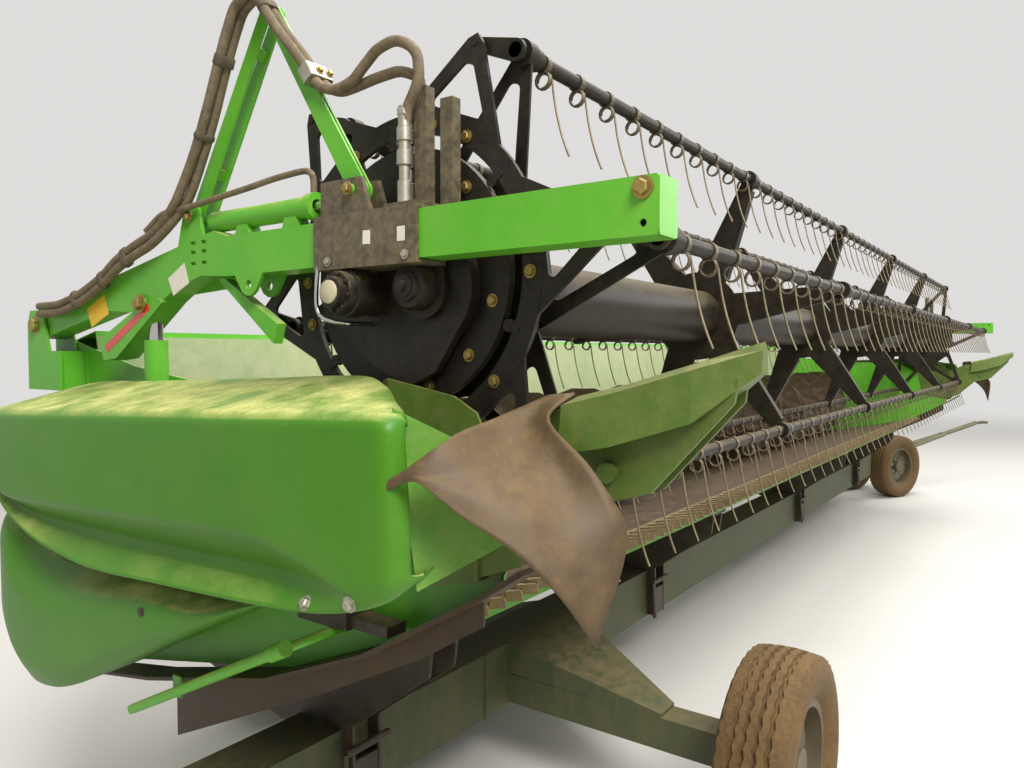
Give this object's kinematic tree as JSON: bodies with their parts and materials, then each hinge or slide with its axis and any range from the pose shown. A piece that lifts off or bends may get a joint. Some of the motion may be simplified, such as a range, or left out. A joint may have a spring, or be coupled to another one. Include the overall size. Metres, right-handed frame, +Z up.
{
  "type": "combine harvester header on its transport trailer",
  "caption": "Grain header with a tined pick-up reel, knife and feed auger, carried on a steered transport trailer.",
  "frame": {"origin": "on the floor under the middle of the outer box", "axes": "+X along the header from its right-hand to its left-hand end, +Y to the rear, +Z up"},
  "size_m": [11.5401, 2.7295, 2.5483],
  "materials": {
    "trailer_paint": "dull dark green paint, dirty",
    "black_steel": "black paint, dusty",
    "header_green": "bright green enamel",
    "shield_plastic": "moulded green plastic",
    "back_paint": "faded pale green paint",
    "worn_steel": "worn steel with brown patina",
    "guard_steel": "forged steel, straw coloured with dust",
    "flap_rubber": "dusty rubber sheet",
    "reel_paint": "black paint under brown dust",
    "tine_steel": "dusty spring steel",
    "chrome_rod": "ground and plated",
    "tyre_rubber": "dirty rubber",
    "rim_paint": "beige paint, dusty",
    "hose_rubber": "dusty braided hose"
  },
  "bodies": {
    "root": {"trailer_beam": "trailer_paint", "trailer_axle": "trailer_paint", "trailer_brackets": "black_steel", "header_frame": "header_green", "frame_uprights": "header_green", "back_sheet": "back_paint", "table_floor": "worn_steel", "end_sheets": "header_green", "cutterbar": "guard_steel", "knife": "guard_steel", "end_shields": "shield_plastic", "dividers": "header_green", "divider_flaps": "flap_rubber", "wear_plates": "worn_steel", "knife_drives": "black_steel", "adjusting_rods": "header_green", "arm_posts": "header_green"},
    "auger": {"auger": "worn_steel"},
    "arms": {"reel_arms": "header_green", "slide_barrels": "header_green", "hoses_arm": "hose_rubber"},
    "tower_rear_link": {"tower_rear": "header_green", "hoses_tower_rear": "hose_rubber"},
    "carriage": {"sleeves": "black_steel", "reel_motor": "black_steel", "chain_case": "black_steel", "cam_disc": "black_steel", "slide_rods": "chrome_rod", "hoses_sleeve": "hose_rubber"},
    "tower_front_link": {"tower_front": "header_green", "hoses_tower_front": "hose_rubber"},
    "star": {"control_star": "black_steel"},
    "reel": {"reel_tube": "reel_paint", "reel_spiders": "reel_paint"},
    "lift_barrel": {"lift_barrels": "header_green"},
    "lift_rod": {"lift_rods": "chrome_rod"},
    "dolly": {"dolly_frame": "trailer_paint"},
    "drawbar": {"drawbar": "trailer_paint"},
    "bat_1_body": {"bat_1": "tine_steel"},
    "bat_2_body": {"bat_2": "tine_steel"},
    "bat_3_body": {"bat_3": "tine_steel"},
    "bat_4_body": {"bat_4": "tine_steel"},
    "bat_5_body": {"bat_5": "tine_steel"},
    "bat_6_body": {"bat_6": "tine_steel"},
    "wheel_rear_right": {"tyre_rear_right": "tyre_rubber", "rim_rear_right": "rim_paint"},
    "wheel_rear_left": {"tyre_rear_left": "tyre_rubber", "rim_rear_left": "rim_paint"},
    "wheel_front_right": {"tyre_front_right": "tyre_rubber", "rim_front_right": "rim_paint"},
    "wheel_front_left": {"tyre_front_left": "tyre_rubber", "rim_front_left": "rim_paint"}
  },
  "joints": [
    {"name": "auger_spin", "type": "hinge", "parent": "root", "child": "auger", "pos_m": [-1.58009, 0.40391, 1.17047], "axis": [1, 0, 0], "continuous": true},
    {"name": "reel_lift", "type": "hinge", "parent": "root", "child": "arms", "pos_m": [-1.58009, 1.07925, 1.777], "axis": [-1, 0, 0], "range_deg": [0, 25]},
    {"name": "reel_slide", "type": "slide", "parent": "arms", "child": "carriage", "axis": [0, -1, 0], "range_m": [0, 0.3]},
    {"name": "tower_rear_fold", "type": "hinge", "parent": "arms", "child": "tower_rear_link", "pos_m": [-1.58009, 0.17925, 2.05], "axis": [1, 0, 0], "range_deg": [0, 20.41]},
    {"name": "tower_front_fold", "type": "hinge", "parent": "carriage", "child": "tower_front_link", "pos_m": [-1.58009, -0.44075, 2.05], "axis": [-1, 0, 0], "range_deg": [0, 20.41]},
    {"name": "reel_spin", "type": "hinge", "parent": "carriage", "child": "reel", "pos_m": [-1.58009, -0.58575, 1.827], "axis": [1, 0, 0], "continuous": true},
    {"name": "star_spin", "type": "hinge", "parent": "carriage", "child": "star", "pos_m": [-1.58009, -0.49075, 1.859], "axis": [1, 0, 0], "continuous": true},
    {"name": "lift_barrel_turn", "type": "hinge", "parent": "root", "child": "lift_barrel", "pos_m": [-1.58009, 0.42525, 1.29], "axis": [-1, 0, 0], "range_deg": [0, 5.9]},
    {"name": "lift_rod_slide", "type": "slide", "parent": "lift_barrel", "child": "lift_rod", "axis": [0, 0, 1], "range_m": [0, 0.277]},
    {"name": "dolly_steer", "type": "hinge", "parent": "root", "child": "dolly", "pos_m": [3.47991, 0.10625, 0.72], "axis": [0, 0, 1], "range_deg": [-46, 94]},
    {"name": "drawbar_hinge", "type": "hinge", "parent": "dolly", "child": "drawbar", "pos_m": [3.69002, 0.0127, 0.44], "axis": [-0.4067, -0.9135, 0], "range_deg": [-10, 35]},
    {"name": "bat_1_turn", "type": "hinge", "parent": "reel", "child": "bat_1_body", "pos_m": [-1.58009, -0.25329, 2.25253], "axis": [1, 0, 0], "continuous": true},
    {"name": "bat_2_turn", "type": "hinge", "parent": "reel", "child": "bat_2_body", "pos_m": [-1.58009, -0.78804, 2.32768], "axis": [1, 0, 0], "continuous": true},
    {"name": "bat_3_turn", "type": "hinge", "parent": "reel", "child": "bat_3_body", "pos_m": [-1.58009, -1.1205, 1.90215], "axis": [1, 0, 0], "continuous": true},
    {"name": "bat_4_turn", "type": "hinge", "parent": "reel", "child": "bat_4_body", "pos_m": [-1.58009, -0.91821, 1.40147], "axis": [1, 0, 0], "continuous": true},
    {"name": "bat_5_turn", "type": "hinge", "parent": "reel", "child": "bat_5_body", "pos_m": [-1.58009, -0.38346, 1.32632], "axis": [1, 0, 0], "continuous": true},
    {"name": "bat_6_turn", "type": "hinge", "parent": "reel", "child": "bat_6_body", "pos_m": [-1.58009, -0.05101, 1.75185], "axis": [1, 0, 0], "continuous": true},
    {"name": "rear_right_roll", "type": "hinge", "parent": "root", "child": "wheel_rear_right", "pos_m": [-4.17009, -1.03475, 0.36], "axis": [0, 1, 0], "continuous": true},
    {"name": "rear_left_roll", "type": "hinge", "parent": "root", "child": "wheel_rear_left", "pos_m": [-4.17009, 1.24725, 0.36], "axis": [0, 1, 0], "continuous": true},
    {"name": "front_right_roll", "type": "hinge", "parent": "dolly", "child": "wheel_front_right", "pos_m": [3.36073, -0.16142, 0.36], "axis": [0.4067, 0.9135, 0], "continuous": true},
    {"name": "front_left_roll", "type": "hinge", "parent": "dolly", "child": "wheel_front_left", "pos_m": [3.59908, 0.37392, 0.36], "axis": [0.4067, 0.9135, 0], "continuous": true}
  ],
  "couplings": [
    {"joint": "tower_rear_fold", "follows": "reel_slide", "rad_per_m": 1.1868},
    {"joint": "tower_front_fold", "follows": "reel_slide", "rad_per_m": 1.1868},
    {"joint": "star_spin", "follows": "reel_spin", "ratio": 1},
    {"joint": "lift_barrel_turn", "follows": "reel_lift", "ratio": 0.2319},
    {"joint": "lift_rod_slide", "follows": "reel_lift", "m_per_rad": 0.6323},
    {"joint": "bat_1_turn", "follows": "reel_spin", "ratio": -1},
    {"joint": "bat_2_turn", "follows": "reel_spin", "ratio": -1},
    {"joint": "bat_3_turn", "follows": "reel_spin", "ratio": -1},
    {"joint": "bat_4_turn", "follows": "reel_spin", "ratio": -1},
    {"joint": "bat_5_turn", "follows": "reel_spin", "ratio": -1},
    {"joint": "bat_6_turn", "follows": "reel_spin", "ratio": -1}
  ]
}
